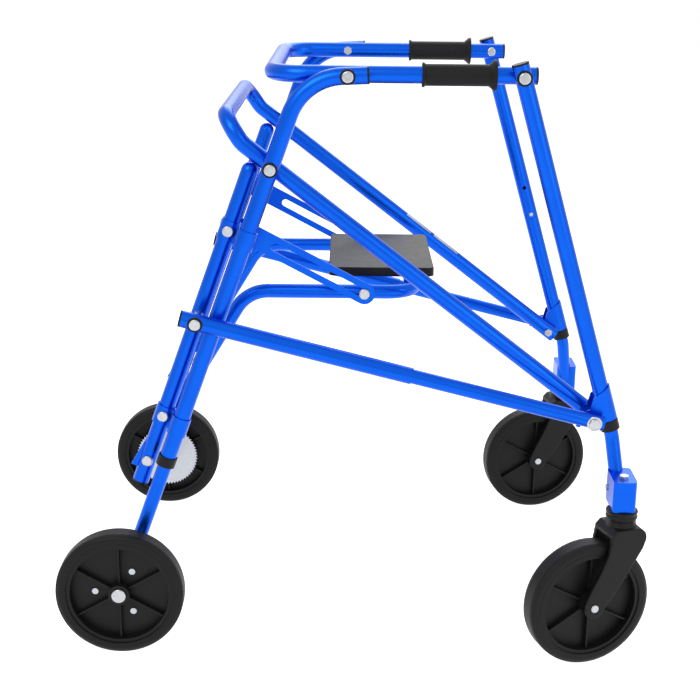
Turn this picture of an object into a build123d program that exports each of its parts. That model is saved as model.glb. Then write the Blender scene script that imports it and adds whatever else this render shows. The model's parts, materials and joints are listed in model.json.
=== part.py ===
from build123d import *
import os
from math import asin, atan2, cos, degrees, hypot, pi, radians, sin

# A folding reverse walker with four wheels and a flip-up seat, in millimetres.
# +X is the way the user faces and walks, +Y is the user's left, +Z is up, and the floor is Z = 0.
# Tubes lie in three upright planes each side: hoop arms inside, legs between, struts outside.

# Tubes
tube_od = 25.4
tube_wall = 1.5
slide_fit = 0.08  # radial running clearance of a telescoping tube
seat_tube_od = 22.2
seat_tube_wall = 1.5
plug_length = 3.0

# Frame width
arm_y = 222.0  # handle arms and back hoop arms
rail_gap = 3.2  # between neighbouring tube planes
brace_offset = 28.0  # of a brace tube's axis behind its rear leg's, seen from the side

# Side view of the linkage, X and Z
handle_z = 891.0
pivot_a_x = -8.0  # rear leg to handle
pivot_b_x = 244.0  # front leg to handle
hoop_pivot_z = 756.5  # rear leg to back hoop
front_pivot_x = 370.0  # front collar pivot, shared by hoop and strut
front_pivot_z = 380.0
front_pivot_offset = 25.0  # pivot behind the front leg's axis
strut_pivot_z = 531.0
rear_axle_x = -356.0
rear_lean = 19.8  # degrees from upright

# Handle
handle_rear_x = -119.0
handle_front_x = 265.0
handle_bend = 50.0
grip_rear_x = 100.0
grip_front_x = 208.0
grip_r = 15.8
grip_small_flange_r = 17.8
grip_big_flange_r = 22.5
grip_small_flange_length = 5.0
grip_big_flange_length = 11.0

# Back hoop
hoop_knee_back = 55.0
hoop_rear_x = -188.0
hoop_rear_z = 828.0
hoop_bend = 36.0
hoop_knee_bend = 40.0
hoop_front_stub = 16.0

# Rear legs and braces
rear_top_x = 20.0
rear_top_rise = 2.5  # degrees
rear_bend = 85.0
rear_upper_end_z = 302.0
rear_button_z = 328.0
rear_inner_length = 130.0  # of the lower tube, inside the upper one
brace_bottom_z = 256.0
bush_r = 15.0
bush_length = 16.0
bush_lap = 6.0

# Clamps
clamp_wall = 2.2
clamp_web = 7.0
clamp_height = 30.0
clamp_upper_z = 660.0
clamp_lower_z = 367.0
brace_bolt_z = 292.0
gusset_drop = 34.0
gusset_reach = 10.0
gusset_thickness = 2.5

# Front legs
front_top_stub = 18.0
front_upper_end_z = 368.0
front_button_z = 597.0
hole_step = 50.8
front_inner_top = 66.0  # of the lower tube, above its button
collar_wall = 2.2
collar_above = 42.0
collar_below = 12.5
collar_lobe_r = 14.0
front_knee_z = 348.0
stem_x = 418.0
stem_out = 53.0  # of the caster stem, outboard of the leg
socket_out = 22.0  # of the lower tube's foot, outboard of the leg
front_knee_bend = 60.0

# Struts
strut_rear_stub = 22.0
strut_outer_length = 355.0
strut_overlap = 84.0
strut_front_stub = 16.0
stop_r = 3.5
stop_height = 2.5
stop_back = 20.0

# Fasteners
bolt_r = 4.0
bolt_fit = 0.06
head_r = 8.6
head_height = 3.6
nut_r = 7.4
nut_height = 5.0
ring_r = 11.4
stud_r = 6.0
ring_height = 2.0
clearance = 0.3
stop_clearance = 0.3
seat_fit = 0.05  # between pieces fixed to each other

# Wheels
wheel_r = 100.0
wheel_width = 36.0
tyre_depth = 17.0
tyre_round = 9.0
rim_depth = 6.0
web_thickness = 4.0
hub_r = 16.5
hub_length = 38.0
rib_count = 6
rib_thickness = 2.6
rear_wheel_y = 298.0
axle_r = 5.0
hub_cap_r = 11.5
hub_cap_height = 4.0
ratchet_r = 59.0
ratchet_tooth = 3.6
ratchet_teeth = 60
ratchet_thickness = 2.2
screw_circle_r = 39.0
screw_r = 2.6
screw_head_r = 5.0
screw_count = 3

# Casters
caster_trail = 52.0
caster_turn_right = 18.0  # degrees, as the casters stand at rest
caster_turn_left = 11.0
housing_top_z = 297.0
housing_bottom_z = 248.0
housing_length = 36.0
socket_floor = 8.0
housing_corner = 7.0
housing_wall = 3.0
housing_bolt_share = 0.45  # of the housing's height
stem_r = 6.0
neck_r = 23.5
neck_bottom_z = 212.0
fork_gap = 44.0
blade_thickness = 6.5
blade_end_r = 18.0
crown_bottom_z = 203.5
shoulder_x = 31.0
shoulder_z = 190.0
caster_axle_r = 4.0

# Ratchet pawl
pawl_pivot_z = 179.0
pawl_pin_r = 3.0
pawl_eye_r = 7.5
pawl_tip_angle = 104.0  # degrees round the ratchet from its front
pawl_thickness = 3.0
pawl_width = 8.0

# Snap buttons
button_r = 3.4
button_proud = 2.6
button_fit = 0.08

# Seat
seat_y = 168.0
seat_z = 552.0
seat_front_x = 100.0
seat_front_bend = 45.0
seat_rear_corner_x = -161.0
seat_rear_bend = 58.0
seat_pin_x = 21.0
plate_rear_x = -35.0
plate_front_x = 132.0
plate_half_width = 128.0
plate_thickness = 14.0
plate_corner = 10.0
bracket_thickness = 4.0
bracket_width = 28.0
bracket_y = 100.0
bracket_rear_x = -20.0
bracket_front_x = 118.0
link_thickness = 3.0
link_width = 33.0
slot_width = 13.0
slot_run = 153.0
slot_end_margin = 3.0
link_gap = 1.5
pivot_eye_r = 12.0


def unit(vector):
    return Vector(*vector).normalized()


# Worked-out places
tube_r = tube_od / 2
bore_r = tube_r - tube_wall
inner_r = bore_r - slide_fit
seat_tube_r = seat_tube_od / 2
rail_pitch = tube_od + rail_gap
leg_y = arm_y + rail_pitch
strut_y = leg_y + rail_pitch
stem_y = leg_y + stem_out
socket_y = leg_y + socket_out
axle_z = wheel_r

rear_up = unit((sin(radians(rear_lean)), 0, cos(radians(rear_lean))))
rear_back = unit((-cos(radians(rear_lean)), 0, sin(radians(rear_lean))))

front_reach = front_pivot_x - pivot_b_x
front_drop = handle_z - front_pivot_z
front_lean = atan2(front_reach, front_drop) + asin(front_pivot_offset / hypot(front_reach, front_drop))
front_up = unit((-sin(front_lean), 0, cos(front_lean)))
front_back = unit((-cos(front_lean), 0, -sin(front_lean)))


def on_rear_leg(z, y=leg_y):
    start = Vector(rear_axle_x, y, axle_z)
    return start + rear_up * ((z - axle_z) / rear_up.Z)


def on_brace(z, y=arm_y):
    start = on_rear_leg(axle_z, y) + rear_back * brace_offset
    return start + rear_up * ((z - start.Z) / rear_up.Z)


def on_front_leg(z, y=leg_y):
    start = Vector(pivot_b_x, y, handle_z)
    return start + front_up * ((z - handle_z) / front_up.Z)


pivot_a = Vector(pivot_a_x, leg_y, handle_z)
pivot_b = Vector(pivot_b_x, leg_y, handle_z)
pivot_c = on_rear_leg(hoop_pivot_z)
pivot_e = on_brace(strut_pivot_z)
pivot_f = Vector(front_pivot_x, leg_y, front_pivot_z)
link_pivot = on_brace(clamp_upper_z)
seat_pivot = on_brace(clamp_lower_z) - rear_back * (brace_offset / 2)
strut_axis = unit((pivot_f.X - pivot_e.X, 0, pivot_f.Z - pivot_e.Z))
hoop_axis = unit((pivot_f.X - pivot_c.X, 0, pivot_f.Z - pivot_c.Z))

# The brace's domed top is the stop that the back hoop's arm rests on
hoop_below = unit((hoop_axis.Z, 0, -hoop_axis.X))
brace_short = (tube_od + stop_clearance - (pivot_e - pivot_c).dot(hoop_below)) / rear_up.dot(hoop_below)
brace_top = pivot_e + rear_up * brace_short


def caster_side_reach(turn, sense):
    angle = radians(turn)
    swing = sense * caster_trail * sin(angle)
    return stem_y + swing + wheel_r * sin(angle) + wheel_width / 2 * cos(angle)


# The origin lies under the middle of the whole footprint, casters as they stand
wheel_reach = rear_wheel_y + hub_length / 2 + clearance + hub_cap_height
right_reach = max(wheel_reach, caster_side_reach(caster_turn_right, 1))
left_reach = max(wheel_reach, caster_side_reach(caster_turn_left, -1))
middle_y = (right_reach - left_reach) / 2


def at(point, y):
    return Vector(point.X, y, point.Z)


def rod(start, end, radius):
    line = end - start
    return Solid.make_cylinder(radius, line.length, Plane(origin=start, z_dir=line))


def ring(start, end, outer, inner):
    return rod(start, end, outer) - rod(start, end, inner)


def cross_hole(point, radius, low_y, high_y):
    return rod(at(point, low_y), at(point, high_y), radius)


def swept(points, radius, bends):
    path = FilletPolyline(*points, radius=bends)
    section = Plane(origin=path @ 0, z_dir=path % 0) * Circle(radius)
    return sweep(section, path=path)


def bent_tube(points, outer, inner, bends):
    return swept(points, outer, bends) - swept(points, inner, bends)


def drilled(shape, points, radius):
    for point in points:
        shape = shape - cross_hole(point, radius, -strut_y - tube_od, strut_y + tube_od)
    return shape


def both_sides(shape):
    return Compound(children=[mirror(shape, about=Plane.XZ), shape])


def group(shapes):
    return Compound(children=shapes)


def dome_head(point, face_y, radius, height, out):
    """A round button head standing on the plane y = face_y, pointing along out."""
    base = Plane(origin=at(point, face_y), z_dir=(0, out, 0))
    head = Solid.make_cylinder(radius, height, base)
    top = head.faces().sort_by(Axis.Y)[-1 if out > 0 else 0]
    return fillet(top.edges(), height * 0.6)


def hex_nut(point, face_y, out):
    base = Plane(origin=at(point, face_y), z_dir=(0, out, 0))
    return extrude(base * RegularPolygon(nut_r, 6), amount=nut_height)


def bolt(point, head_y, end_y, radius=bolt_r, with_nut=True):
    """Head outboard at head_y, shank inboard to end_y, and a nut outside the shank's end."""
    shank = rod(at(point, head_y), at(point, end_y), radius)
    whole = dome_head(point, head_y, head_r, head_height, 1) + shank
    if with_nut:
        whole = whole + hex_nut(point, end_y, -1)
    return whole


def washer(point, low_y, high_y, outer=ring_r, inner=bolt_r + seat_fit):
    return ring(at(point, low_y), at(point, high_y), outer, inner)


# --- Rear frame: what the rear legs carry ---


def rear_leg():
    rise = radians(rear_top_rise)
    top = Vector(rear_top_x, leg_y, handle_z + (rear_top_x - pivot_a_x) * sin(rise))
    back = unit((-cos(rise), 0, -sin(rise)))
    # where the sloping top line meets the leg's own line
    start = on_rear_leg(axle_z)
    across = rear_up.X * back.Z - rear_up.Z * back.X
    run = ((top.X - start.X) * back.Z - (top.Z - start.Z) * back.X) / across
    corner = start + rear_up * run
    points = [top, corner, on_rear_leg(rear_upper_end_z)]
    leg = bent_tube(points, tube_r, bore_r, [rear_bend])
    leg = drilled(leg, [pivot_a, pivot_c], bolt_r + bolt_fit)
    place = on_rear_leg(rear_button_z)
    return leg - rod(place, at(place, leg_y - tube_od), button_r + button_fit)


def brace_tube():
    bottom = on_brace(brace_bottom_z)
    top = brace_top
    outer = rod(bottom, top, tube_r) + Pos(top) * Sphere(tube_r)
    inner = rod(bottom, top, bore_r) + Pos(top) * Sphere(bore_r)
    points = [on_brace(brace_bolt_z), pivot_e, link_pivot, on_brace(clamp_lower_z)]
    return drilled(outer - inner, points, bolt_r + seat_fit)


def clamp_side(z, radius):
    """Two solid rounds, one about each tube of a side."""
    middle = on_brace(z)
    leg = middle - rear_back * brace_offset + Vector(0, leg_y - arm_y, 0)
    half = rear_up * (clamp_height / 2)
    return rod(middle - half, middle + half, radius), rod(leg - half, leg + half, radius)


def clamp(z):
    """Two rings round the brace and the leg, joined by a web."""
    brace_round, leg_round = clamp_side(z, tube_r + seat_fit + clamp_wall)
    brace_bore, leg_bore = clamp_side(z, tube_r + seat_fit)
    start = on_brace(z)
    end = start - rear_back * brace_offset + Vector(0, leg_y - arm_y, 0)
    plane = Plane(origin=(start + end) * 0.5, x_dir=end - start, z_dir=rear_up)
    web = plane * Box((end - start).length, clamp_web, clamp_height)
    band = brace_round + leg_round + web - brace_bore - leg_bore
    return drilled(band, [start], bolt_r + seat_fit)


def lower_clamp():
    """The lower clamp carries the seat tube on a shouldered stud."""
    shoulder = seat_y + seat_tube_r + clearance
    end = seat_y - seat_tube_r - clearance
    stud = rod(at(seat_pivot, (arm_y + leg_y) / 2), at(seat_pivot, shoulder), stud_r)
    for bore in clamp_side(clamp_lower_z, tube_r + seat_fit):
        stud = stud - bore
    pin = rod(at(seat_pivot, shoulder), at(seat_pivot, end), bolt_r)
    return clamp(clamp_lower_z) + stud + pin + hex_nut(seat_pivot, end, -1)


def brace_gusset():
    top = on_brace(brace_bolt_z + gusset_drop) + rear_back * (tube_r + seat_fit)
    low = on_brace(brace_bolt_z - gusset_drop / 2) + rear_back * (tube_r + seat_fit)
    corners = [top, low, low + rear_back * gusset_reach]
    face = make_face(Polyline(*corners, close=True))
    return extrude(face, amount=gusset_thickness / 2, both=True, dir=(0, 1, 0))


def rear_fittings():
    rise = radians(rear_top_rise)
    top = Vector(rear_top_x, leg_y, handle_z + (rear_top_x - pivot_a_x) * sin(rise))
    ahead = unit((cos(rise), 0, sin(rise)))
    cap = rod(top, top + ahead * plug_length, tube_r) + rod(top, top - ahead * plug_length, bore_r)
    foot = on_brace(brace_bottom_z)
    plug = rod(foot, foot - rear_up * plug_length, tube_r) + rod(foot, foot + rear_up * plug_length, bore_r)
    return [cap, plug, bush(on_rear_leg(rear_upper_end_z), rear_up)]


def bush(end, up):
    """A plastic bush that caps a tube's open end and guides the inner tube."""
    whole = rod(end - up * (bush_length - bush_lap), end + up * bush_lap, bush_r)
    whole = whole - rod(end, end + up * bush_lap, tube_r + seat_fit)
    return whole - rod(end - up * bush_length, end, inner_r + slide_fit)


link_plane = seat_y + seat_tube_r + link_gap + link_thickness / 2


def rear_bolts():
    outer_y = leg_y + tube_r + ring_height
    inner_y = arm_y - tube_r - clearance
    strut_face = strut_y + tube_r + ring_height
    brace_in = arm_y - tube_r
    band_r = tube_r + seat_fit + clamp_wall
    link_in = link_plane - link_thickness / 2 - clearance
    link_out = link_plane + link_thickness / 2 + clearance
    pieces = [bolt(pivot_a, outer_y, inner_y), bolt(pivot_c, outer_y, inner_y)]
    pieces.append(bolt(pivot_e, strut_face, brace_in))
    pieces.append(ring(at(pivot_e, arm_y + tube_r), at(pivot_e, strut_y - tube_r - clearance), nut_r, bolt_r + seat_fit))
    pieces.append(bolt(on_brace(brace_bolt_z), arm_y + tube_r, brace_in))
    pieces.append(bolt(link_pivot, arm_y + band_r, link_in))
    pieces.append(ring(at(link_pivot, link_out), at(link_pivot, arm_y - band_r), nut_r, bolt_r + seat_fit))
    pieces.append(bolt(on_brace(clamp_lower_z), arm_y + band_r, arm_y - band_r))
    return pieces


def rear_rings():
    outer = leg_y + tube_r
    inner = leg_y - tube_r
    pieces = []
    for pivot in (pivot_a, pivot_c):
        pieces.append(washer(pivot, outer, outer + ring_height))
        pieces.append(washer(pivot, inner - rail_gap + clearance, inner))
    strut_out = strut_y + tube_r + clearance
    pieces.append(washer(pivot_e, strut_out, strut_out + ring_height - clearance))
    return pieces


# --- Handle ---


def handle_hoop():
    points = []
    for x, y in ((handle_front_x, arm_y), (handle_rear_x, arm_y)):
        points.append(Vector(x, -y, handle_z))
    points = points + [Vector(p.X, -p.Y, p.Z) for p in reversed(points)]
    hoop = bent_tube(points, tube_r, bore_r, [handle_bend, handle_bend])
    return drilled(hoop, [pivot_a, pivot_b], bolt_r + bolt_fit)


def handle_cap():
    end = Vector(handle_front_x, arm_y, handle_z)
    ahead = Vector(1, 0, 0)
    return rod(end, end + ahead * plug_length, tube_r) + rod(end, end - ahead * plug_length, bore_r)


def handle_nut():
    face = arm_y - tube_r
    return dome_head(pivot_b, face, nut_r, head_height, -1) + rod(at(pivot_b, face), at(pivot_b, arm_y), bolt_r)


def grip():
    length = grip_front_x - grip_rear_x
    body = length - grip_small_flange_length - grip_big_flange_length
    bore = tube_r + seat_fit
    start_big = grip_small_flange_length + body
    outline = [
        (bore, 0),
        (grip_small_flange_r, 0),
        (grip_small_flange_r, grip_small_flange_length * 0.6),
        (grip_r, grip_small_flange_length),
        (grip_r, start_big),
        (grip_big_flange_r, length - grip_big_flange_length * 0.3),
        (grip_big_flange_r, length),
        (bore, length),
    ]
    plane = Plane(origin=(grip_rear_x, arm_y, handle_z), x_dir=(0, 0, 1), z_dir=(0, 1, 0))
    face = plane * make_face(Polyline(*outline, close=True))
    return revolve(face, axis=Axis((0, arm_y, handle_z), (1, 0, 0)))


# --- Back hoop ---


def hoop_points():
    front = pivot_f + hoop_axis * hoop_front_stub
    knee = pivot_c - hoop_axis * hoop_knee_back
    rear = Vector(hoop_rear_x, arm_y, hoop_rear_z)
    side = [at(front, arm_y), at(knee, arm_y), rear]
    other = [Vector(p.X, -p.Y, p.Z) for p in side]
    return side + list(reversed(other))


def back_hoop():
    bends = [hoop_knee_bend, hoop_bend, hoop_bend, hoop_knee_bend]
    hoop = bent_tube(hoop_points(), tube_r, bore_r, bends)
    return drilled(hoop, [pivot_c, pivot_f], bolt_r + bolt_fit)


# --- Front legs ---


def front_leg():
    top = pivot_b + front_up * front_top_stub
    end = on_front_leg(front_upper_end_z)
    leg = ring(end, top, tube_r, bore_r)
    leg = drilled(leg, [pivot_b], bolt_r + seat_fit)
    for z in (front_button_z, front_button_z + hole_step * front_up.Z):
        leg = leg - rod(on_front_leg(z), on_front_leg(z, leg_y - tube_od), button_r + button_fit)
    return leg


def front_collar():
    foot = pivot_f - front_back * front_pivot_offset
    wall_r = tube_r + seat_fit + collar_wall
    plane = Plane(origin=foot, x_dir=front_back, z_dir=(0, 1, 0))
    up_sign = 1 if plane.y_dir.dot(front_up) > 0 else -1
    low = -collar_below * up_sign
    high = collar_above * up_sign
    shoulder = high * 0.72
    outline = [(-wall_r, low), (-wall_r, high), (wall_r, shoulder), (front_pivot_offset, -low)]
    plate = make_face(Polyline(*outline, (front_pivot_offset, low), close=True))
    plate = plate + Pos(front_pivot_offset, 0) * Circle(collar_lobe_r)
    block = extrude(plane * plate, amount=wall_r, both=True)
    low_end = foot - front_up * (collar_below * 2)
    high_end = foot + front_up * (collar_above * 2)
    span = Plane(origin=low_end, x_dir=front_back, z_dir=front_up)
    run = (high_end - low_end).length
    reach = front_pivot_offset + collar_lobe_r * 2
    outer = Circle(wall_r) + Pos(reach / 2, 0) * Rectangle(reach, 2 * wall_r)
    inner_w = 2 * (tube_r + seat_fit)
    inner = Circle(inner_w / 2) + Pos(reach / 2, 0) * Rectangle(reach, inner_w)
    channel = extrude(span * (outer - inner), amount=run)
    return drilled(block & channel, [pivot_f], bolt_r + seat_fit)


def front_fittings():
    top = pivot_b + front_up * front_top_stub
    cap = rod(top, top + front_up * plug_length, tube_r) + rod(top, top - front_up * plug_length, bore_r)
    return [cap, bush(on_front_leg(front_upper_end_z), front_up)]


def front_bolts():
    outer_y = leg_y + tube_r + ring_height
    gap_y = arm_y + tube_r + clearance
    cheek_y = leg_y + tube_r + seat_fit + collar_wall
    upper = bolt(pivot_b, outer_y, gap_y, with_nut=False)
    low_end = arm_y - tube_r - clearance
    lower = rod(at(pivot_f, cheek_y), at(pivot_f, low_end), bolt_r)
    return [upper, lower + hex_nut(pivot_f, low_end, -1)]


def front_rings():
    outer = leg_y + tube_r
    inner = leg_y - tube_r
    return [washer(pivot_b, outer, outer + ring_height), washer(pivot_b, inner - rail_gap + 2 * clearance, inner)]


# --- Front lower legs and caster housings ---


def front_lower_points():
    top = on_front_leg(front_button_z) + front_up * front_inner_top
    knee = on_front_leg(front_knee_z)
    foot = Vector(stem_x, socket_y, housing_bottom_z + socket_floor)
    return [top, knee, foot]


def height_holes(tube, place, up):
    """The button's hole, and the one above it that the longer setting uses."""
    for hole in (place, place + up * hole_step):
        tube = tube - rod(hole, at(hole, leg_y - tube_od), button_r + button_fit)
    return tube


def front_lower_tube():
    points = front_lower_points()
    tube = bent_tube(points, inner_r, inner_r - tube_wall, [front_knee_bend])
    tube = tube - rod(housing_bolt_end(-1), housing_bolt_end(1), screw_r + seat_fit)
    return height_holes(tube, on_front_leg(front_button_z), front_up)


def caster_housing():
    """A block with a slanted socket for the lower tube and, outboard, a barrel for the stem."""
    height = housing_top_z - housing_bottom_z
    inner = socket_y - inner_r - housing_wall
    outer = stem_y + housing_length / 2
    block = RectangleRounded(housing_length, outer - inner, housing_corner)
    block = extrude(Pos(stem_x, (inner + outer) / 2, housing_bottom_z) * block, amount=height)
    block = block - swept(front_lower_points(), inner_r + seat_fit, [front_knee_bend])
    low = Vector(stem_x, stem_y, housing_bottom_z)
    top = Vector(stem_x, stem_y, housing_top_z)
    block = block - rod(low, top, stem_r + bolt_fit)
    return block - rod(housing_bolt_end(-1), housing_bolt_end(1), screw_r + seat_fit)


def housing_bolt_end(sense):
    z = housing_bottom_z + (housing_top_z - housing_bottom_z) * housing_bolt_share
    return Vector(stem_x + sense * housing_length / 2, socket_y, z)


def housing_bolt():
    rear = housing_bolt_end(-1)
    front = housing_bolt_end(1)
    head = rod(rear - Vector(screw_r, 0, 0), rear, screw_head_r)
    return head + rod(rear, front, screw_r)


# --- Snap buttons ---


def snap_button(place):
    """A round pin in the outer tube's wall, ready to be pressed into the inner tube's hole."""
    face = at(place, place.Y - tube_r - button_proud)
    return rod(face, at(place, place.Y - inner_r - clearance), button_r)


# --- Rear lower legs ---


def rear_lower_tube():
    top = on_rear_leg(rear_upper_end_z) + rear_up * rear_inner_length
    foot = on_rear_leg(axle_z) - rear_up * (inner_r + 2)
    tube = ring(foot, top, inner_r, inner_r - tube_wall)
    tube = drilled(tube, [on_rear_leg(axle_z)], axle_r + seat_fit)
    tube = drilled(tube, [on_rear_leg(pawl_pivot_z)], pawl_pin_r + seat_fit)
    return height_holes(tube, on_rear_leg(rear_button_z), rear_up)


ratchet_y = rear_wheel_y - hub_length / 2 - ratchet_thickness
pawl_y = ratchet_y - (pawl_thickness - ratchet_thickness) / 2
hub_out_y = rear_wheel_y + hub_length / 2


def rear_axle():
    centre = on_rear_leg(axle_z)
    inner_y = leg_y - inner_r - nut_height / 2
    shaft = rod(at(centre, inner_y), at(centre, hub_out_y + clearance), axle_r)
    cap = dome_head(centre, hub_out_y + clearance, hub_cap_r, hub_cap_height, 1)
    nut = dome_head(centre, inner_y, hub_cap_r, hub_cap_height, -1)
    sleeve_end = ratchet_y - clearance
    sleeve = ring(at(centre, leg_y + inner_r), at(centre, sleeve_end), hub_cap_r, axle_r + seat_fit)
    pivot = on_rear_leg(pawl_pivot_z)
    pin = rod(at(pivot, leg_y - inner_r), at(pivot, pawl_y + pawl_thickness), pawl_pin_r)
    pin = pin + dome_head(pivot, leg_y - inner_r, screw_head_r, screw_r, -1)
    return group([shaft + cap + nut, sleeve, pin])


def pawl():
    pivot = on_rear_leg(pawl_pivot_z)
    centre = on_rear_leg(axle_z)
    angle = radians(pawl_tip_angle)
    reach = ratchet_r + clearance
    tip = Vector(centre.X + reach * cos(angle), 0, centre.Z + reach * sin(angle))
    back = unit((tip.X - pivot.X, 0, tip.Z - pivot.Z))
    side = Vector(-back.Z, 0, back.X)
    if side.Z < 0:
        side = side * -1
    root_low = at(pivot, 0) - side * (pawl_width / 2)
    root_high = at(pivot, 0) + side * (pawl_width / 2)
    tip_high = tip + side * (pawl_width * 0.8)
    arm = make_face(Polyline(root_low, tip, tip_high, root_high, close=True))
    lever = extrude(Pos(0, pawl_y, 0) * arm, amount=pawl_thickness, dir=(0, 1, 0))
    eye = rod(at(pivot, pawl_y), at(pivot, pawl_y + pawl_thickness), pawl_eye_r)
    return (lever + eye) - cross_hole(pivot, pawl_pin_r + bolt_fit, pawl_y - 1, pawl_y + pawl_thickness + 1)


# --- Wheels, built round a centre on the Y axis and then placed ---


def wheel_profile(points):
    plane = Plane(origin=(0, 0, 0), x_dir=(0, 0, 1), z_dir=(-1, 0, 0))
    face = plane * make_face(Polyline(*points, close=True))
    return revolve(face, axis=Axis.Y)


def tyre_shape():
    half = wheel_width / 2
    base_r = wheel_r - tyre_depth
    plane = Plane(origin=(0, 0, 0), x_dir=(0, 0, 1), z_dir=(-1, 0, 0))
    section = Pos((wheel_r + base_r) / 2, 0) * Rectangle(tyre_depth, wheel_width)
    outer = section.vertices().group_by(Axis.X)[-1]
    section = fillet(outer, tyre_round)
    return revolve(plane * section, axis=Axis.Y)


def rim_shape(bore, hub):
    half = wheel_width / 2 - 2
    rim_out = wheel_r - tyre_depth - seat_fit
    rim_in = rim_out - rim_depth
    shell = wheel_profile([(rim_in, -half), (rim_out, -half), (rim_out, half), (rim_in, half)])
    web = wheel_profile([(hub_r, -web_thickness / 2), (rim_in, -web_thickness / 2), (rim_in, web_thickness / 2), (hub_r, web_thickness / 2)])
    centre = wheel_profile([(bore, -hub / 2), (hub_r, -hub / 2), (hub_r, hub / 2), (bore, hub / 2)])
    whole = shell + web + centre
    for step in range(rib_count):
        angle = 30 + step * 360 / rib_count
        length = rim_in - hub_r + 2
        rib = Pos(hub_r + length / 2 - 1, 0, 0) * Box(length, 2 * half - 10, rib_thickness)
        whole = whole + Rot(0, angle, 0) * rib
    return whole


def screw_places():
    for step in range(screw_count):
        angle = radians(60 + step * 360 / screw_count)
        yield screw_circle_r * cos(angle), screw_circle_r * sin(angle)


def rear_rim_shape():
    whole = rim_shape(axle_r + bolt_fit, hub_length)
    for x, z in screw_places():
        whole = whole - rod(Vector(x, -wheel_width, z), Vector(x, wheel_width, z), screw_r + seat_fit)
    return whole


def ratchet_shape():
    """A toothed steel disc on the hub's inboard end, with its screws through the wheel's web."""
    points = []
    for tooth in range(ratchet_teeth):
        for share, radius in ((0.0, ratchet_r), (0.82, ratchet_r - ratchet_tooth)):
            angle = 2 * pi * (tooth + share) / ratchet_teeth
            points.append((radius * cos(angle), radius * sin(angle)))
    face = make_face(Polyline(*points, close=True)) - Circle(hub_r * 0.6)
    plane = Plane(origin=(0, -hub_length / 2, 0), x_dir=(1, 0, 0), z_dir=(0, -1, 0))
    disc = extrude(plane * face, amount=ratchet_thickness)
    for x, z in screw_places():
        start = Vector(x, -hub_length / 2, z)
        end = Vector(x, web_thickness / 2, z)
        head = rod(end, end + Vector(0, screw_r, 0), screw_head_r)
        disc = disc + rod(start, end, screw_r) + head
    return disc


def place_rear(shape):
    centre = on_rear_leg(axle_z)
    return Pos(centre.X, rear_wheel_y, axle_z) * shape


# --- Casters, built straight behind their stem on the left side and then turned ---


def fork():
    top = housing_bottom_z - clearance
    grooves = (top - neck_bottom_z) / 6
    neck = rod(Vector(0, 0, neck_bottom_z), Vector(0, 0, top), neck_r)
    for step in (1, 2):
        z = top - step * grooves
        neck = neck - ring(Vector(0, 0, z - 1), Vector(0, 0, z), neck_r + 1, neck_r - 1.5)
    half = fork_gap / 2 + blade_thickness
    eye = Vector(-caster_trail, 0, axle_z)
    outline = [(neck_r, neck_bottom_z + 4), (shoulder_x, shoulder_z), (shoulder_x - 4, shoulder_z - 20)]
    outline += [(eye.X + blade_end_r * 0.9, eye.Z - blade_end_r * 0.43)]
    outline += [(eye.X - blade_end_r * 0.92, eye.Z + blade_end_r * 0.39), (-neck_r - 2, crown_bottom_z - 30)]
    outline += [(-neck_r - 6, crown_bottom_z), (-neck_r, neck_bottom_z + 4)]
    face = make_face(Polyline(*outline, close=True)) + Pos(eye.X, eye.Z) * Circle(blade_end_r)
    plane = Plane(origin=(0, 0, 0), x_dir=(1, 0, 0), z_dir=(0, -1, 0))
    body = extrude(plane * face, amount=half, both=True)
    slot = rod(Vector(eye.X, -fork_gap / 2, eye.Z), Vector(eye.X, fork_gap / 2, eye.Z), wheel_r + 4)
    room = Pos(eye.X, 0, eye.Z - wheel_r) * Box(wheel_r * 4, fork_gap, wheel_r * 2)
    keep = rod(Vector(0, 0, 0), Vector(0, 0, top), half + 3)
    crown_zone = Pos(0, 0, crown_bottom_z) * Box(200, 200, 2 * (top - crown_bottom_z))
    body = body - (body & crown_zone - keep)
    whole = (body + neck) - slot - room
    whole = whole - rod(Vector(eye.X, -half - 1, eye.Z), Vector(eye.X, half + 1, eye.Z), caster_axle_r + seat_fit)
    stem_hole = rod(Vector(0, 0, crown_bottom_z), Vector(0, 0, top + 1), stem_r + seat_fit)
    return whole - stem_hole


def caster_hardware():
    half = fork_gap / 2 + blade_thickness
    eye = Vector(-caster_trail, 0, axle_z)
    shaft = rod(at(eye, -half), at(eye, half), caster_axle_r)
    for out in (1, -1):
        shaft = shaft + dome_head(eye, out * half, head_r * 0.75, head_height, out)
    stem_low = Vector(0, 0, crown_bottom_z + 1)
    stem = rod(stem_low, Vector(0, 0, housing_top_z + clearance), stem_r)
    nut = extrude(Pos(0, 0, housing_top_z + clearance) * RegularPolygon(nut_r, 6), amount=nut_height)
    return group([shaft, stem + nut])


def place_caster(shape, side):
    turn = caster_turn_left if side > 0 else caster_turn_right
    return Pos(stem_x, side * stem_y, 0) * Rot(0, 0, turn) * shape


def caster_wheel(shape):
    return Pos(-caster_trail, 0, axle_z) * shape


# --- Struts ---


def strut_outer():
    start = at(pivot_e, strut_y) - strut_axis * strut_rear_stub
    end = at(pivot_e, strut_y) + strut_axis * (strut_outer_length - strut_rear_stub)
    return drilled(ring(start, end, tube_r, bore_r), [pivot_e], bolt_r + bolt_fit)


def strut_inner():
    front = at(pivot_f, strut_y) + strut_axis * strut_front_stub
    rear = at(pivot_e, strut_y) + strut_axis * (strut_outer_length - strut_rear_stub - strut_overlap)
    tube = drilled(ring(rear, front, inner_r, inner_r - tube_wall), [pivot_f], bolt_r + seat_fit)
    below = Vector(strut_axis.Z, 0, -strut_axis.X)
    place = at(pivot_f, strut_y) - strut_axis * stop_back
    return tube + rod(place + below * (inner_r - tube_wall), place + below * (inner_r + stop_height), stop_r)


def strut_plug():
    end = at(pivot_e, strut_y) - strut_axis * strut_rear_stub
    return rod(end - strut_axis * plug_length, end, tube_r) + rod(end, end + strut_axis * plug_length, bore_r)


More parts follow.
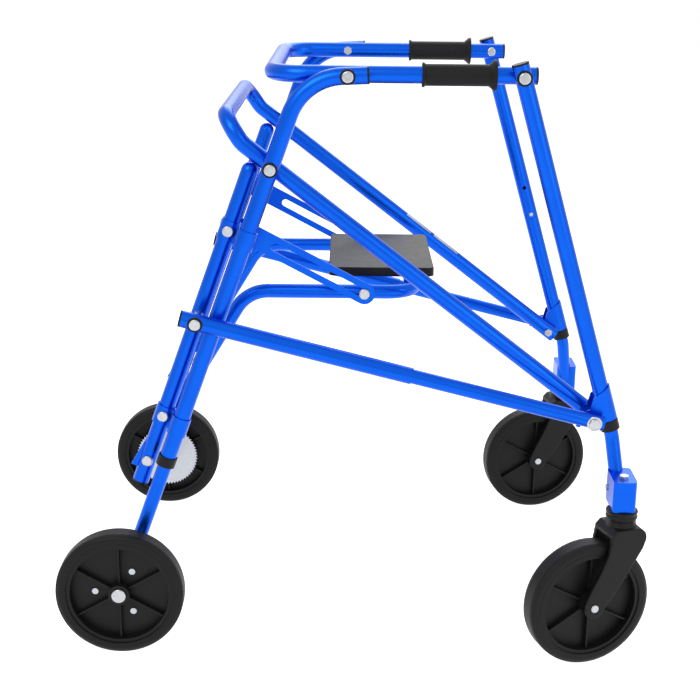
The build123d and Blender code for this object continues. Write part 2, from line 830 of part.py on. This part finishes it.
def strut_fasteners():
    face = strut_y + inner_r + ring_height
    inner_end = leg_y + tube_r + seat_fit + collar_wall + clearance
    pin = bolt(pivot_f, face, inner_end, with_nut=False)
    return [pin, washer(pivot_f, strut_y + inner_r, strut_y + inner_r + ring_height)]


# --- Seat ---


def seat_points():
    low = at(seat_pivot, seat_y)
    corner = Vector(seat_rear_corner_x, seat_y, seat_z)
    front = Vector(seat_front_x, seat_y, seat_z)
    side = [low - (corner - low).normalized() * pivot_eye_r, corner, front]
    return side + [Vector(p.X, -p.Y, p.Z) for p in reversed(side)]


def seat_tube():
    bends = [seat_rear_bend, seat_front_bend, seat_front_bend, seat_rear_bend]
    tube = bent_tube(seat_points(), seat_tube_r, seat_tube_r - seat_tube_wall, bends)
    return drilled(tube, [seat_pivot], bolt_r + bolt_fit)


def seat_plate():
    length = plate_front_x - plate_rear_x
    middle = (plate_front_x + plate_rear_x) / 2
    low_z = seat_z + seat_tube_r + bracket_thickness
    face = Pos(middle, 0, low_z) * RectangleRounded(length, 2 * plate_half_width, plate_corner)
    plate = extrude(face, amount=plate_thickness)
    top = plate.faces().sort_by(Axis.Z)[-1]
    return fillet(top.edges(), 2.0)


def seat_bracket():
    length = bracket_front_x - bracket_rear_x
    middle = (bracket_front_x + bracket_rear_x) / 2
    z = seat_z + seat_tube_r + bracket_thickness / 2
    strap = Pos(middle, bracket_y, z) * Box(length, bracket_width, bracket_thickness)
    saddle_x = 2 * seat_tube_r + 2 * bracket_thickness
    saddle_z = seat_tube_r
    saddle = Pos(seat_front_x, bracket_y, seat_z + saddle_z / 2) * Box(saddle_x, bracket_width, saddle_z)
    bore = rod(Vector(seat_front_x, bracket_y - bracket_width, seat_z), Vector(seat_front_x, bracket_y + bracket_width, seat_z), seat_tube_r + seat_fit)
    return strap + (saddle - bore)


pin_place = Vector(seat_pin_x, 0, seat_z)
link_line = Vector(seat_pin_x - link_pivot.X, 0, seat_z - link_pivot.Z)
link_axis = link_line.normalized()


def seat_link():
    low_y = link_plane - link_thickness / 2
    high_y = link_plane + link_thickness / 2
    start = at(link_pivot, low_y)
    end = at(pin_place, low_y)
    middle = (start + end) * 0.5
    plane = Plane(origin=middle, x_dir=link_axis, z_dir=(0, 1, 0))
    length = link_line.length
    blank = SlotCenterToCenter(length, link_width)
    run = slot_run + 2 * slot_end_margin
    slot = Pos(length / 2 + slot_end_margin - run / 2, 0) * SlotCenterToCenter(run, slot_width)
    plate = extrude(plane * (blank - slot), amount=link_thickness)
    return plate - cross_hole(link_pivot, bolt_r + bolt_fit, low_y - 1, high_y + 1)


def seat_pin():
    tube_face = seat_y + seat_tube_r + clearance
    outer = link_plane + link_thickness / 2 + clearance
    return dome_head(pin_place, outer, head_r, head_height, 1) + rod(at(pin_place, tube_face), at(pin_place, outer), bolt_r)


def mirrored(shape):
    return mirror(shape, about=Plane.XZ)


def collect():
    nodes = {
        "upper_clamps": both_sides(clamp(clamp_upper_z)),
        "handle_hoop": handle_hoop(),
        "handle_end_caps": both_sides(handle_cap()),
        "handle_nuts": both_sides(handle_nut()),
        "back_hoop": back_hoop(),
        "front_collars": both_sides(front_collar()),
        "strut_outer_tubes": both_sides(strut_outer()),
        "strut_inner_tubes": both_sides(strut_inner()),
        "strut_plugs": both_sides(strut_plug()),
        "seat_tube": seat_tube(),
        "seat_plate": seat_plate(),
        "seat_brackets": both_sides(seat_bracket()),
        "seat_links": both_sides(seat_link()),
        "seat_pins": both_sides(seat_pin()),
    }
    sets = {
        "lower_clamps": [lower_clamp(), brace_gusset()],
        "rear_plastic_fittings": rear_fittings(),
        "rear_bolts": rear_bolts(),
        "rear_pivot_rings": rear_rings(),
        "front_plastic_fittings": front_fittings(),
        "front_bolts": front_bolts(),
        "front_pivot_rings": front_rings(),
        "strut_bolts": strut_fasteners(),
    }
    for name, pieces in sets.items():
        nodes[name] = group([mirrored(p) for p in pieces] + pieces)
    pairs = {
        "rear_leg": rear_leg(),
        "brace_tube": brace_tube(),
        "grip": grip(),
        "front_leg": front_leg(),
        "front_lower_tube": front_lower_tube(),
        "caster_housing": caster_housing(),
        "caster_housing_bolt": housing_bolt(),
        "front_button": snap_button(on_front_leg(front_button_z)),
        "rear_lower_tube": rear_lower_tube(),
        "rear_axle": rear_axle(),
        "ratchet_pawl": pawl(),
        "rear_button": snap_button(on_rear_leg(rear_button_z)),
        "rear_rim": place_rear(rear_rim_shape()),
        "rear_tyre": place_rear(tyre_shape()),
        "ratchet_disc": place_rear(ratchet_shape()),
    }
    for name, shape in pairs.items():
        nodes[name + "_left"] = shape
        nodes[name + "_right"] = mirrored(shape)
    caster = {
        "caster_fork": fork(),
        "caster_hardware": caster_hardware(),
        "caster_rim": caster_wheel(rim_shape(caster_axle_r + bolt_fit, fork_gap - 2)),
        "caster_tyre": caster_wheel(tyre_shape()),
    }
    for name, shape in caster.items():
        for side, word in ((1, "_left"), (-1, "_right")):
            nodes[name + word] = place_caster(shape, side)
    return nodes


os.makedirs("parts", exist_ok=True)
for node, shape in collect().items():
    export_step(Pos(0, middle_y, 0) * shape, "parts/" + node + ".step")
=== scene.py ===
import bpy
import bmesh
import json
from math import cos, sin, radians
from mathutils import Matrix, Vector


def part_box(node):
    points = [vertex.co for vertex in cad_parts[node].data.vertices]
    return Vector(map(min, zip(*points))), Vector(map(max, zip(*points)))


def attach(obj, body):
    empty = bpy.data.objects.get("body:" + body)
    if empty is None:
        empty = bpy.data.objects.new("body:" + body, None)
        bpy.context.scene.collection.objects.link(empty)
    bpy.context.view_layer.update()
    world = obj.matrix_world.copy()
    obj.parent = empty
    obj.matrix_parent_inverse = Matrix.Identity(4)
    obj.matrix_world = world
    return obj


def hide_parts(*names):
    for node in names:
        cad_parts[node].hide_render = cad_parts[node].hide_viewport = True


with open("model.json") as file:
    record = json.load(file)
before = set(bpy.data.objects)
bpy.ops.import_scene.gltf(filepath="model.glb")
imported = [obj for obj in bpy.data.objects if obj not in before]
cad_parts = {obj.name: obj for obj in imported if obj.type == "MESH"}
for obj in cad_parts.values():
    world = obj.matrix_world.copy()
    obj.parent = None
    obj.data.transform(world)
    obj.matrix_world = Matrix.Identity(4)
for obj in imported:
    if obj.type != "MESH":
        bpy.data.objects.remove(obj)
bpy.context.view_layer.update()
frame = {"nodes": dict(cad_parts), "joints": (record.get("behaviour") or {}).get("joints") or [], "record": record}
print("frame loaded:", len(frame["nodes"]), "nodes")

joints = {joint["name"]: joint for joint in frame["joints"]}
sides = ("left", "right")
midY = joints["fold"]["pos_m"][1]  # the frame's middle plane


def linear(hexCode):
    # sRGB hex to the linear colour that the shader wants
    parts = [int(hexCode[i:i + 2], 16) / 255 for i in (1, 3, 5)]
    return [c / 12.92 if c <= 0.04045 else ((c + 0.055) / 1.055) ** 2.4 for c in parts] + [1.0]


def addNode(tree, kind, settings=None, links=None):
    # one node, its settings by socket name or attribute, and what feeds it
    node = tree.nodes.new(kind)
    for key, value in (settings or {}).items():
        if key in node.inputs:
            node.inputs[key].default_value = value
        else:
            setattr(node, key, value)
    for key, socket in (links or {}).items():
        tree.links.new(socket, node.inputs[key])
    return node


def newMaterial(name, **shader):
    material = bpy.data.materials.new(name)
    material.use_nodes = True
    tree = material.node_tree
    tree.nodes.clear()
    bsdf = addNode(tree, "ShaderNodeBsdfPrincipled", shader)
    addNode(tree, "ShaderNodeOutputMaterial", links={"Surface": bsdf.outputs[0]})
    place = addNode(tree, "ShaderNodeTexCoord").outputs["Object"]
    return material, tree, bsdf, place


def perMillimetre(size):
    # a texture's scale when one cell is this many millimetres
    return 1000 / size


def grain(tree, bsdf, place, size, height, detail=3):
    # fine height pattern from the surface's own making
    texture = {"Scale": perMillimetre(size), "Detail": detail}
    noise = addNode(tree, "ShaderNodeTexNoise", texture, {"Vector": place})
    depth = {"Strength": 1.0, "Distance": height / 1000}
    bump = addNode(tree, "ShaderNodeBump", depth, {"Height": noise.outputs[0]})
    tree.links.new(bump.outputs[0], bsdf.inputs["Normal"])


def varied(tree, bsdf, place, low, high, size, socket="Base Color"):
    # slow change of colour or roughness across a surface
    texture = {"Scale": perMillimetre(size), "Detail": 2.0}
    noise = addNode(tree, "ShaderNodeTexNoise", texture, {"Vector": place})
    if socket == "Base Color":
        mix = addNode(tree, "ShaderNodeMix", {"data_type": "RGBA"}, {"Factor": noise.outputs[0]})
        mix.inputs[6].default_value = linear(low)
        mix.inputs[7].default_value = linear(high)
        tree.links.new(mix.outputs[2], bsdf.inputs[socket])
    else:
        ends = {"To Min": low, "To Max": high}
        ramp = addNode(tree, "ShaderNodeMapRange", ends, {"Value": noise.outputs[0]})
        tree.links.new(ramp.outputs[0], bsdf.inputs[socket])


finish = {
    "tubeBlue": ("#0050cc", "#005cda"),  # dyed layer, a little uneven
    "tubeRough": (0.27, 0.34),
    "drawGrain": 0.6,  # mm, fine lines left by drawing and etching
    "grainHeight": 0.004,  # mm
    "plastic": ("#0c0c0d", "#111112"),
    "rubber": ("#0b0b0c", "#121214"),
    "wheel": ("#0e0e0f", "#151516"),
    "tyre": ("#0a0a0b", "#101011"),
    "seat": ("#0f0f11", "#17171a"),
    "zinc": ("#a3a5a8", "#c4c6c9"),
    "steelDisc": ("#a9acb2", "#c2c5ca"),
    "plasticShine": 0.22,
    "label": ("#c8d4ea", "#d6e0f2"),
}


def anodisedAluminium():
    # drawn tube, etched and dyed: metallic blue under a clear hard layer, with soft long highlights
    material, tree, bsdf, place = newMaterial("anodised_aluminium_blue", Metallic=0.93)
    bsdf.inputs["Coat Weight"].default_value = 0.08
    bsdf.inputs["Coat Roughness"].default_value = 0.22
    varied(tree, bsdf, place, *finish["tubeBlue"], 60)
    varied(tree, bsdf, place, *finish["tubeRough"], 25, "Roughness")
    grain(tree, bsdf, place, finish["drawGrain"], finish["grainHeight"], 4)
    return material


def mouldedPlastic(name, colours, rough, size, height):
    # injection moulded: even colour, soft sheen, fine texture from the tool's spark-eroded face
    material, tree, bsdf, place = newMaterial(name)
    bsdf.inputs["IOR"].default_value = 1.5
    bsdf.inputs["Specular IOR Level"].default_value = finish["plasticShine"]
    varied(tree, bsdf, place, *colours, 30)
    varied(tree, bsdf, place, rough - 0.05, rough + 0.06, 12, "Roughness")
    grain(tree, bsdf, place, size, height)
    return material


def platedSteel(name, colours, rough):
    # turned or stamped steel with a bright zinc coat, faintly mottled
    material, tree, bsdf, place = newMaterial(name, Metallic=1.0)
    varied(tree, bsdf, place, *colours, 4)
    varied(tree, bsdf, place, rough - 0.06, rough + 0.08, 2, "Roughness")
    grain(tree, bsdf, place, 0.5, 0.006)
    return material


materials = {
    "tube": anodisedAluminium(),
    "plastic": mouldedPlastic("moulded_black_nylon", finish["plastic"], 0.45, 0.8, 0.012),
    "rubber": mouldedPlastic("moulded_black_rubber", finish["rubber"], 0.55, 0.9, 0.03),
    "wheel": mouldedPlastic("moulded_grey_nylon", finish["wheel"], 0.48, 0.9, 0.02),
    "tyre": mouldedPlastic("moulded_grey_polyurethane", finish["tyre"], 0.5, 1.2, 0.02),
    "seat": mouldedPlastic("moulded_seat_plastic", finish["seat"], 0.42, 1.4, 0.06),
    "zinc": platedSteel("zinc_plated_steel", finish["zinc"], 0.24),
    "disc": platedSteel("stamped_steel_disc", finish["steelDisc"], 0.33),
    "label": mouldedPlastic("bare_vinyl_label", finish["label"], 0.4, 1.5, 0.004),
}
slotMaterial = {
    "blue_anodised": "tube",
    "black_plastic": "plastic",
    "black_rubber": "rubber",
    "bright_steel": "zinc",
    "grey_nylon": "wheel",
    "grey_tyre": "tyre",
    "black_seat": "seat",
}
for part in frame["record"]["subparts"]:
    finishName = slotMaterial[part["material_slot"]]
    if part["node"].startswith("ratchet_disc"):
        finishName = "disc"
    mesh = frame["nodes"][part["node"]].data
    mesh.materials.clear()
    mesh.materials.append(materials[finishName])
print("finishes set")


def jointPlace(name):
    return Vector(joints[name]["pos_m"])


def newPiece(name, verts, faces, materialName, body):
    mesh = bpy.data.meshes.new(name)
    mesh.from_pydata(verts, [], faces)
    mesh.materials.append(materials[materialName])
    for polygon in mesh.polygons:
        polygon.use_smooth = True
    piece = bpy.data.objects.new(name, mesh)
    bpy.context.scene.collection.objects.link(piece)
    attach(piece, body)
    return piece


labelSizes = {
    "tubeRadius": 0.0127,
    "lift": 0.00025,  # the vinyl's own thickness
    "halfArc": radians(42),
    "starts": (0.272, 0.335),  # along the arm from the rear pivot
    "length": 0.056,
    "steps": 10,
    "under": 0.0001,  # how far the underside stands off the tube
}


def armLabels():
    # two bare labels on the upper face of the hoop's left arm
    rear, front = jointPlace("fold"), jointPlace("front_leg_turn")
    along = (front - rear).normalized()
    over = Vector((0, 1, 0)).cross(along) * -1
    if over.z < 0:
        over = over * -1
    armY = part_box("back_hoop")[1][1] - labelSizes["tubeRadius"]
    for index, start in enumerate(labelSizes["starts"]):
        base = Vector((rear.x, armY, rear.z))
        verts, faces = [], []
        for layer in (labelSizes["lift"], labelSizes["under"]):
            radius = labelSizes["tubeRadius"] + layer
            for run in (start, start + labelSizes["length"]):
                for step in range(labelSizes["steps"] + 1):
                    turn = labelSizes["halfArc"] * (2 * step / labelSizes["steps"] - 1)
                    out = over * cos(turn) + Vector((0, 1, 0)) * sin(turn)
                    verts.append(base + along * run + out * radius)
        row = labelSizes["steps"] + 1
        for step in range(labelSizes["steps"]):
            faces.append((step, step + 1, row + step + 1, row + step))
            faces.append((2 * row + step + 1, 2 * row + step, 3 * row + step, 3 * row + step + 1))
            faces.append((step + 1, step, 2 * row + step, 2 * row + step + 1))
            faces.append((row + step, row + step + 1, 3 * row + step + 1, 3 * row + step))
        last = labelSizes["steps"]
        faces.append((0, row, 3 * row, 2 * row))
        faces.append((row + last, last, 2 * row + last, 3 * row + last))
        piece = newPiece(f"arm_label_{index + 1}", verts, faces, "label", "back_frame")
        recalculate(piece)


def recalculate(piece):
    shape = bmesh.new()
    shape.from_mesh(piece.data)
    bmesh.ops.recalc_face_normals(shape, faces=shape.faces)
    shape.to_mesh(piece.data)
    shape.free()


armLabels()
print("labels made")

beadSizes = {
    "tread": (2, 0.028, 0.0014, 0.0008),  # beads, spread, thickness and how far inside the tread
    "shoulder": (2, 0.0352, 0.0011, 0.0135),
    "around": 128,
}


def beadTree():
    # circles set side by side along a line, each a thin raised bead
    tree = bpy.data.node_groups.new("treadBeads", "GeometryNodeTree")
    face = tree.interface
    face.new_socket("Geometry", in_out="OUTPUT", socket_type="NodeSocketGeometry")
    for name, value in (("Radius", 0.1), ("Spread", 0.02), ("Thickness", 0.0007)):
        face.new_socket(name, in_out="INPUT", socket_type="NodeSocketFloat").default_value = value
    for name, value in (("Beads", 7), ("Around", 96)):
        face.new_socket(name, in_out="INPUT", socket_type="NodeSocketInt").default_value = value
    face.new_socket("Finish", in_out="INPUT", socket_type="NodeSocketMaterial")
    given = addNode(tree, "NodeGroupInput").outputs
    links = {"Resolution": given["Around"], "Radius": given["Radius"]}
    ring = addNode(tree, "GeometryNodeCurvePrimitiveCircle", links=links)
    links = {"Radius": given["Thickness"]}
    profile = addNode(tree, "GeometryNodeCurvePrimitiveCircle", {"Resolution": 6}, links)
    links = {"Curve": ring.outputs[0], "Profile Curve": profile.outputs[0]}
    bead = addNode(tree, "GeometryNodeCurveToMesh", links=links)
    half = addNode(tree, "ShaderNodeMath", {"operation": "MULTIPLY"}, {0: given["Spread"]})
    half.inputs[1].default_value = -0.5
    start = addNode(tree, "ShaderNodeCombineXYZ", links={"Z": half.outputs[0]})
    end = addNode(tree, "ShaderNodeMath", {"operation": "MULTIPLY"}, {0: half.outputs[0]})
    end.inputs[1].default_value = -1.0
    finishPoint = addNode(tree, "ShaderNodeCombineXYZ", links={"Z": end.outputs[0]})
    line = addNode(tree, "GeometryNodeMeshLine", {"mode": "END_POINTS"}, {"Count": given["Beads"]})
    tree.links.new(start.outputs[0], line.inputs["Start Location"])
    tree.links.new(finishPoint.outputs[0], line.inputs["Offset"])
    links = {"Points": line.outputs[0], "Instance": bead.outputs[0]}
    spots = addNode(tree, "GeometryNodeInstanceOnPoints", links=links)
    real = addNode(tree, "GeometryNodeRealizeInstances", links={0: spots.outputs[0]})
    smooth = addNode(tree, "GeometryNodeSetShadeSmooth", links={0: real.outputs[0]})
    links = {"Geometry": smooth.outputs[0], "Material": given["Finish"]}
    dressed = addNode(tree, "GeometryNodeSetMaterial", links=links)
    addNode(tree, "NodeGroupOutput", links={0: dressed.outputs[0]})
    return tree


def grown(name, tree, values, matrix):
    # runs a node tree once and keeps its plain mesh, moved to its place
    holder = bpy.data.objects.new(name + "_maker", bpy.data.meshes.new(name))
    bpy.context.scene.collection.objects.link(holder)
    modifier = holder.modifiers.new("make", "NODES")
    modifier.node_group = tree
    for item in tree.interface.items_tree:
        if item.item_type == "SOCKET" and item.in_out == "INPUT" and item.name in values:
            modifier[item.identifier] = values[item.name]
    view = bpy.context.evaluated_depsgraph_get()
    mesh = bpy.data.meshes.new_from_object(holder.evaluated_get(view))
    bpy.data.objects.remove(holder)
    mesh.transform(matrix)
    piece = bpy.data.objects.new(name, mesh)
    bpy.context.scene.collection.objects.link(piece)
    return piece


def tyreBeads():
    # raised lines left by the mould: round the tread and on each shoulder
    tree = beadTree()
    for wheel, nodeStart in (("rear", "rear_tyre_"), ("front", "caster_tyre_")):
        for side in sides:
            spin = joints[f"{wheel}_wheel_spin_{side}"]
            low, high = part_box(nodeStart + side)
            radius = (high[2] - low[2]) / 2
            turn = Vector((0, 0, 1)).rotation_difference(Vector(spin["axis"])).to_matrix().to_4x4()
            place = Matrix.Translation(Vector(spin["pos_m"])) @ turn
            for part in ("tread", "shoulder"):
                count, spread, thickness, inside = beadSizes[part]
                values = {
                    "Radius": radius - inside - thickness,
                    "Spread": spread,
                    "Thickness": thickness,
                    "Beads": count,
                    "Around": beadSizes["around"],
                    "Finish": materials["tyre"],
                }
                piece = grown(f"{wheel}_tyre_{part}_{side}", tree, values, place)
                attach(piece, f"{wheel}_wheel_{side}")


tyreBeads()
print("tyre lines made")

forkSizes = {
    "gap": 0.022,  # from the wheel's middle plane to a blade
    "blade": 0.0075,
    "front": (  # the blade's leading edge, ahead of and above the axle
        (0.072, 0.124), (0.080, 0.117), (0.0825, 0.107), (0.077, 0.091),
        (0.066, 0.072), (0.050, 0.045), (0.033, 0.018),
    ),
    "rear": (  # its trailing edge
        (-0.016, 0.007), (-0.006, 0.030), (0.008, 0.058), (0.019, 0.085),
        (0.022, 0.104), (0.024, 0.116), (0.032, 0.124),
    ),
    "eye": 0.0175,
    "eyeTurns": (-10, -17, 10),  # degrees to the first point and between points, and their number
    "bridge": (
        (0.023, 0.109), (0.024, 0.116), (0.032, 0.124), (0.072, 0.124), (0.080, 0.117), (0.082, 0.109),
    ),
    "neck": ((0.0225, 0.110, 0.1475), (0.0245, 0.143, 0.1475), (0.0245, 0.135, 0.139)),  # radius, foot, top
    "neckSides": 48,
    "meshSize": 0.0014,
    "softening": (0.5, 10),  # strength and passes
}


def prism(shape, outline, middle, half):
    # a flat outline given depth along the axle
    rings = [[shape.verts.new((u, middle + sense * half, w)) for u, w in outline] for sense in (-1, 1)]
    shape.faces.new(rings[0])
    shape.faces.new(list(reversed(rings[1])))
    for index in range(len(outline)):
        after = (index + 1) % len(outline)
        shape.faces.new((rings[0][index], rings[1][index], rings[1][after], rings[0][after]))


def mouldedForks():
    # each fork as one rounded moulding: two swept blades, a bridge over the wheel and a neck
    eye = forkSizes["eye"]
    first, between, count = forkSizes["eyeTurns"]
    turns = [radians(first + between * step) for step in range(count)]
    foot = [(eye * cos(turn), eye * sin(turn)) for turn in turns]
    blade = list(forkSizes["front"]) + foot + list(forkSizes["rear"])
    outer = forkSizes["gap"] + forkSizes["blade"]
    for side in sides:
        swivel, spin = jointPlace("caster_swivel_" + side), jointPlace("front_wheel_spin_" + side)
        ahead = Vector((swivel.x - spin.x, swivel.y - spin.y, 0))
        trail = ahead.length
        ahead.normalize()
        shape = bmesh.new()
        for sense in (-1, 1):
            prism(shape, blade, sense * (outer - forkSizes["blade"] / 2), forkSizes["blade"] / 2)
        prism(shape, forkSizes["bridge"], 0, outer)
        for radius, base, top in forkSizes["neck"]:
            place = Matrix.Translation((trail, 0, (base + top) / 2))
            sizes = {"radius1": radius, "radius2": radius, "depth": top - base}
            bmesh.ops.create_cone(shape, cap_ends=True, segments=forkSizes["neckSides"], matrix=place, **sizes)
        bmesh.ops.recalc_face_normals(shape, faces=shape.faces)
        mesh = bpy.data.meshes.new("fork_" + side)
        shape.to_mesh(mesh)
        shape.free()
        maker = bpy.data.objects.new("fork_maker_" + side, mesh)
        bpy.context.scene.collection.objects.link(maker)
        remesh = maker.modifiers.new("one", "REMESH")
        remesh.mode = "VOXEL"
        remesh.voxel_size = forkSizes["meshSize"]
        soften = maker.modifiers.new("soft", "SMOOTH")
        soften.factor, soften.iterations = forkSizes["softening"]
        view = bpy.context.evaluated_depsgraph_get()
        final = bpy.data.meshes.new_from_object(maker.evaluated_get(view))
        bpy.data.objects.remove(maker)
        across = Vector((0, 0, 1)).cross(ahead)
        turn = Matrix((ahead, across, Vector((0, 0, 1)))).transposed().to_4x4()
        final.transform(Matrix.Translation(spin) @ turn)
        final.materials.clear()
        final.materials.append(materials["plastic"])
        for polygon in final.polygons:
            polygon.use_smooth = True
        piece = bpy.data.objects.new("moulded_fork_" + side, final)
        bpy.context.scene.collection.objects.link(piece)
        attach(piece, "caster_" + side)
        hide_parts("caster_fork_" + side)


mouldedForks()
print("forks made")

lens = {
    "eye": (-0.0086, -2.2244, 1.0813),  # from the frame's middle plane
    "yaw": 0.004,
    "pitch": 0.295,
    "roll": 0.010,
    "focal": 69.9,
    "sensor": 36.0,
}


def addCamera():
    data = bpy.data.cameras.new("camera")
    data.lens = lens["focal"]
    data.sensor_width = lens["sensor"]
    camera = bpy.data.objects.new("camera", data)
    bpy.context.scene.collection.objects.link(camera)
    yaw, pitch, roll = lens["yaw"], lens["pitch"], lens["roll"]
    ahead = Vector((sin(yaw) * cos(pitch), cos(yaw) * cos(pitch), -sin(pitch)))
    right = Vector((cos(yaw), -sin(yaw), 0))
    up = right.cross(ahead)
    across = right * cos(roll) + up * sin(roll)
    above = up * cos(roll) - right * sin(roll)
    turn = Matrix((across, above, -ahead)).transposed().to_4x4()
    camera.matrix_world = Matrix.Translation(Vector(lens["eye"]) + Vector((0, midY, 0))) @ turn
    bpy.context.scene.camera = camera


studio = {
    "floorHalf": 12.0,
    "floorTone": (0.8, 0.8, 0.8, 1),
    "aimHeight": 0.45,
    "floorGlow": 0.95,
    "worldLight": 0.42,
    "lamps": (
        ("key", (-1.6, -2.6, 3.2), 2.2, 48),
        ("fill", (2.4, -2.2, 1.6), 2.0, 16),
        ("rim", (0.4, 2.6, 2.6), 2.4, 36),
    ),
}


def addStudio():
    mesh = bpy.data.meshes.new("floor")
    half = studio["floorHalf"]
    corners = [(-half, -half, 0), (half, -half, 0), (half, half, 0), (-half, half, 0)]
    mesh.from_pydata(corners, [], [(0, 1, 2, 3)])
    floor = bpy.data.objects.new("floor", mesh)
    bpy.context.scene.collection.objects.link(floor)
    paint = bpy.data.materials.new("white_floor")
    paint.use_nodes = True
    tree = paint.node_tree
    tree.nodes.clear()
    matt = addNode(tree, "ShaderNodeBsdfDiffuse", {"Color": studio["floorTone"]})
    glow = addNode(tree, "ShaderNodeEmission", {"Strength": studio["floorGlow"]})
    both = addNode(tree, "ShaderNodeAddShader", links={0: matt.outputs[0], 1: glow.outputs[0]})
    seen = seenDirectly(tree)
    mix = addNode(tree, "ShaderNodeMixShader", links={0: seen, 1: matt.outputs[0], 2: both.outputs[0]})
    addNode(tree, "ShaderNodeOutputMaterial", links={0: mix.outputs[0]})
    mesh.materials.append(paint)
    world = bpy.data.worlds.new("studio")
    bpy.context.scene.world = world
    world.use_nodes = True
    tree = world.node_tree
    tree.nodes.clear()
    plain = addNode(tree, "ShaderNodeBackground", {"Color": (1, 1, 1, 1), "Strength": studio["worldLight"]})
    white = addNode(tree, "ShaderNodeBackground", {"Color": (1, 1, 1, 1), "Strength": 1.0})
    links = {0: seenDirectly(tree), 1: plain.outputs[0], 2: white.outputs[0]}
    mix = addNode(tree, "ShaderNodeMixShader", links=links)
    addNode(tree, "ShaderNodeOutputWorld", links={0: mix.outputs[0]})
    for name, place, size, power in studio["lamps"]:
        data = bpy.data.lights.new(name, "AREA")
        data.shape = "SQUARE"
        data.size = size
        data.energy = power
        lamp = bpy.data.objects.new(name, data)
        bpy.context.scene.collection.objects.link(lamp)
        aim = Vector((0, midY, studio["aimHeight"])) - Vector(place)
        lamp.matrix_world = Matrix.Translation(place) @ aim.to_track_quat("-Z", "Y").to_matrix().to_4x4()


def seenDirectly(tree):
    # 1 where the camera, a reflection or glass looks at it
    path = addNode(tree, "ShaderNodeLightPath").outputs
    links = {0: path["Is Camera Ray"], 1: path["Is Glossy Ray"]}
    first = addNode(tree, "ShaderNodeMath", {"operation": "MAXIMUM"}, links)
    links = {0: first.outputs[0], 1: path["Is Transmission Ray"]}
    return addNode(tree, "ShaderNodeMath", {"operation": "MAXIMUM"}, links).outputs[0]


addCamera()
addStudio()
bpy.context.scene.view_settings.view_transform = "Standard"
print("camera and studio ready")
